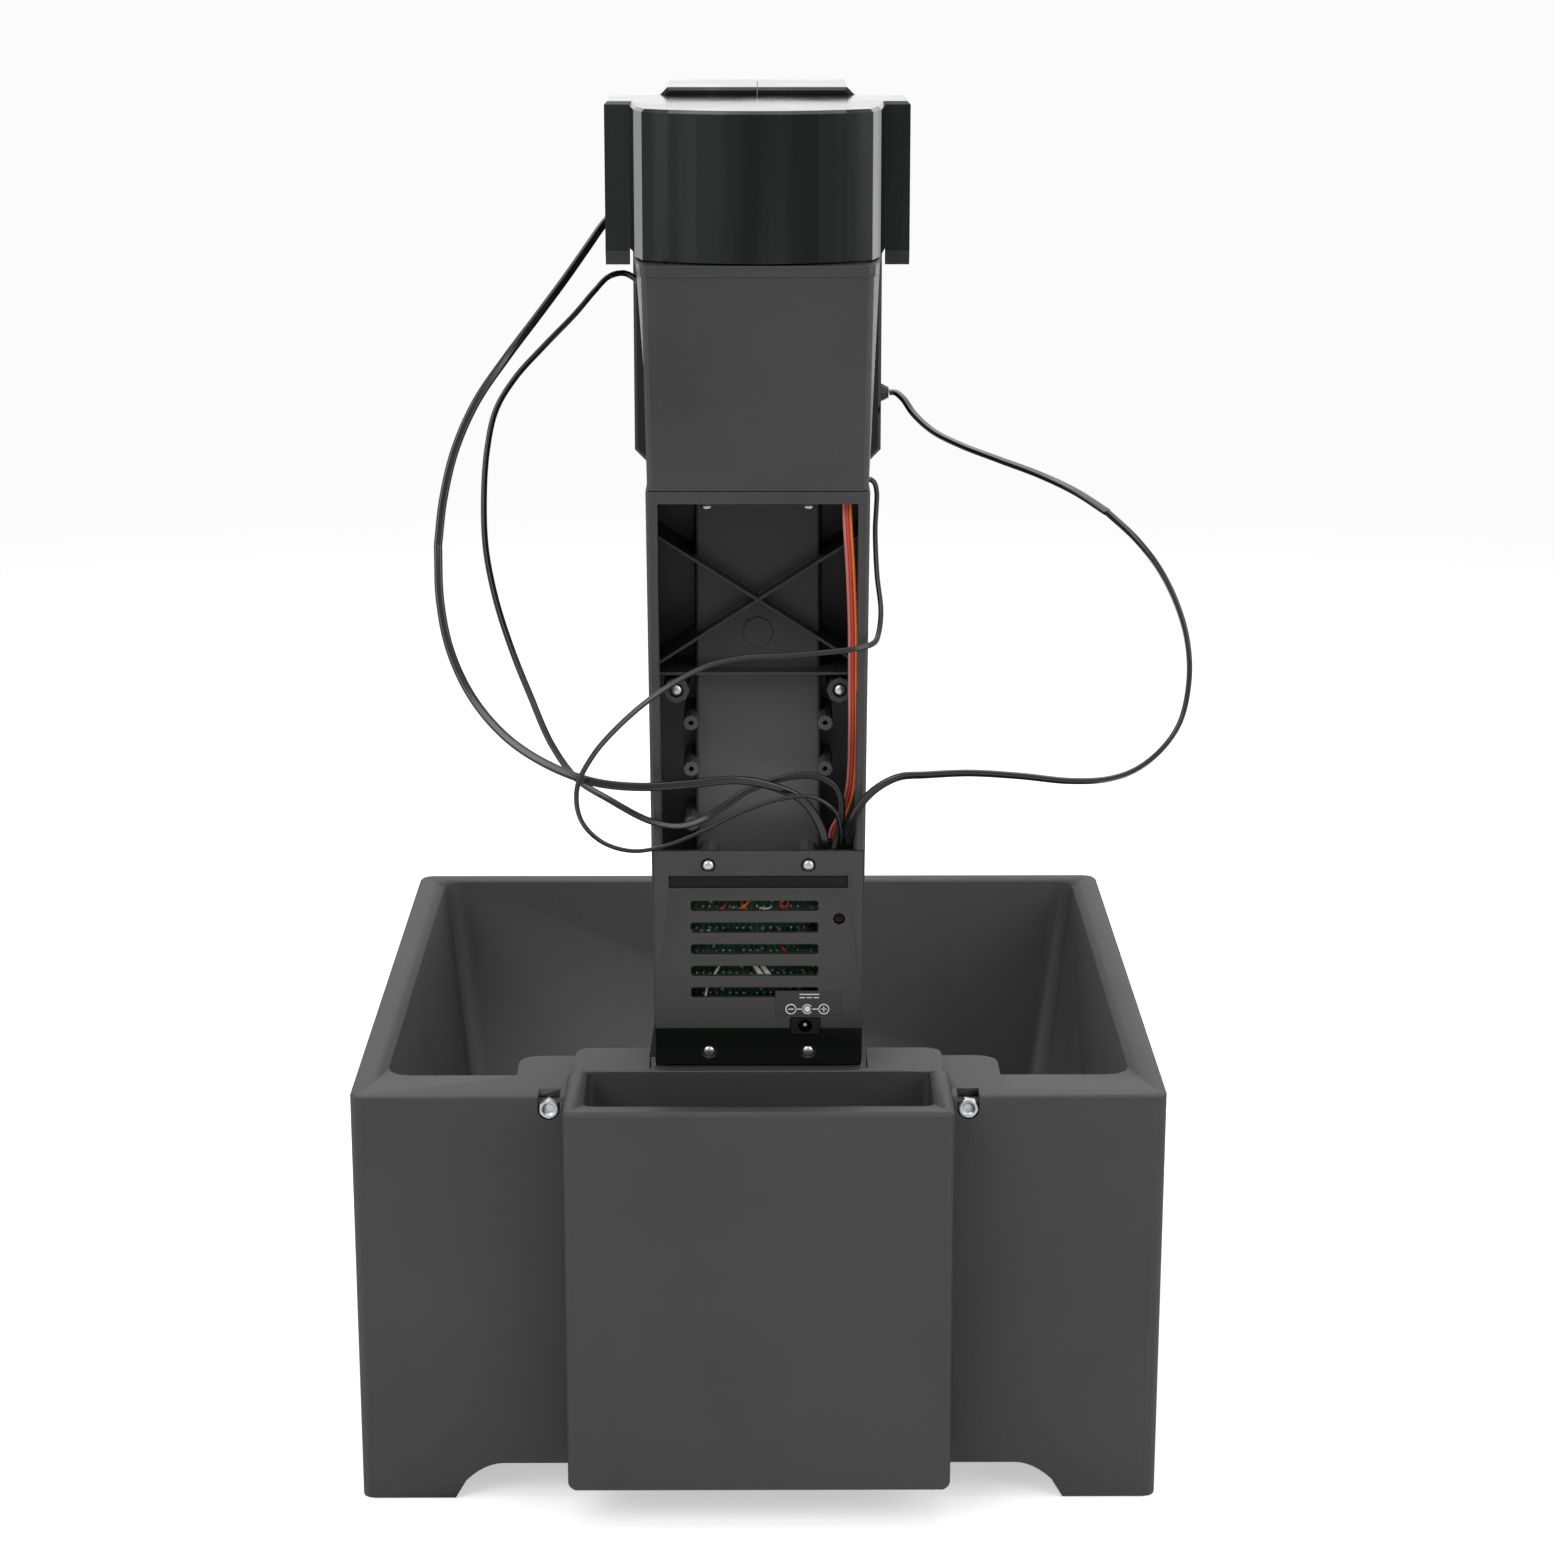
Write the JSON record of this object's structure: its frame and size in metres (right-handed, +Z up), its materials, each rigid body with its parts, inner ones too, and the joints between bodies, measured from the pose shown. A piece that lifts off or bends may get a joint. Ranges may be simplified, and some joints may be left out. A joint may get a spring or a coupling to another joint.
{
  "type": "table tennis robot",
  "caption": "Free-standing robot that throws table tennis balls, with a square ball bin, a rear pocket, a lifting column, a swinging head and a turret with throwing wheels.",
  "frame": {"origin": "on the floor, under the middle of the bin and its rear pocket", "axes": "+Z up, +Y the way the balls are thrown, +X to the right seen from behind"},
  "size_m": [0.3186, 0.338, 0.533],
  "materials": {
    "bin_plastic": "moulded, fine grain",
    "satin_plastic": "satin",
    "gloss_plastic": "gloss",
    "inner_plastic": "matt",
    "bright_steel": "zinc plated",
    "soft_rubber": "matt",
    "wheel_foam": "fine-celled",
    "board_green": "solder resist",
    "white_nylon": "natural",
    "cable_black": "satin sheath",
    "ribbon_wires": "pink, red and orange wires"
  },
  "bodies": {
    "base": {"ball_bin": "bin_plastic", "rear_pocket": "bin_plastic", "bin_bolt_left": "bright_steel", "bin_bolt_right": "bright_steel", "bottom_cover": "bin_plastic", "feeder_motor": "bright_steel", "column_rear_frame": "satin_plastic", "column_front_cover": "satin_plastic", "column_screw_left": "bright_steel", "column_screw_right": "bright_steel", "vent_plate": "satin_plastic", "vent_screw_top_left": "bright_steel", "vent_screw_top_right": "bright_steel", "vent_screw_low_left": "bright_steel", "vent_screw_low_right": "bright_steel", "control_board": "board_green", "dc_jack": "inner_plastic", "cable_header": "white_nylon", "neck_rear_cover": "satin_plastic", "neck_screw_left": "bright_steel", "neck_screw_right": "bright_steel", "swing_bearing": "white_nylon", "swing_motor": "bright_steel", "upper_motor_cable": "cable_black", "lower_motor_cable": "cable_black", "sensor_cable": "cable_black", "swing_motor_cable": "cable_black", "ribbon_cable": "ribbon_wires", "ribbon_plug": "white_nylon"},
    "swing_drive": {"swing_pinion": "white_nylon"},
    "feeder": {"feeder_wheel": "inner_plastic"},
    "head": {"ball_elbow": "inner_plastic", "swing_gear": "white_nylon", "head_frame": "inner_plastic", "ball_sensor": "inner_plastic", "head_rear_cover": "gloss_plastic", "upper_motor_lead": "cable_black", "lower_motor_lead": "cable_black"},
    "turret": {"turret_collar": "inner_plastic", "turret_left_half": "gloss_plastic", "turret_right_half": "gloss_plastic", "exit_nozzle": "gloss_plastic", "turret_screw_upper_rear": "bright_steel", "turret_screw_upper_front": "bright_steel", "turret_screw_lower_rear": "bright_steel", "turret_screw_lower_front": "bright_steel", "upper_motor": "bright_steel", "lower_motor": "bright_steel", "upper_gland": "soft_rubber", "lower_gland": "soft_rubber"},
    "upper_wheel": {"upper_wheel_hub": "inner_plastic", "upper_wheel_tyre": "wheel_foam"},
    "lower_wheel": {"lower_wheel_hub": "inner_plastic", "lower_wheel_tyre": "wheel_foam"}
  },
  "joints": [
    {"name": "head_swing", "type": "hinge", "parent": "base", "child": "head", "pos_m": [0, -0.066, 0.396], "axis": [0, 0, 1], "range_deg": [-20, 20], "deforming": ["upper_motor_cable", "lower_motor_cable", "sensor_cable"]},
    {"name": "swing_drive_spin", "type": "hinge", "parent": "base", "child": "swing_drive", "pos_m": [0.02493, -0.09791, 0.399], "axis": [0, 0, 1], "range_deg": [-71, 71]},
    {"name": "turret_spin", "type": "hinge", "parent": "head", "child": "turret", "pos_m": [0, -0.024, 0.4555], "axis": [0, 1, 0], "range_deg": [-45, 45], "deforming": ["upper_motor_lead", "lower_motor_lead"]},
    {"name": "upper_wheel_spin", "type": "hinge", "parent": "turret", "child": "upper_wheel", "pos_m": [0, 0.007, 0.4965], "axis": [1, 0, 0], "continuous": true},
    {"name": "lower_wheel_spin", "type": "hinge", "parent": "turret", "child": "lower_wheel", "pos_m": [0, 0.007, 0.4145], "axis": [1, 0, 0], "continuous": true},
    {"name": "feeder_spin", "type": "hinge", "parent": "base", "child": "feeder", "pos_m": [0, -0.01, 0.06], "axis": [0, 0, 1], "continuous": true}
  ],
  "couplings": [
    {"joint": "swing_drive_spin", "follows": "head_swing", "ratio": -3.5}
  ]
}
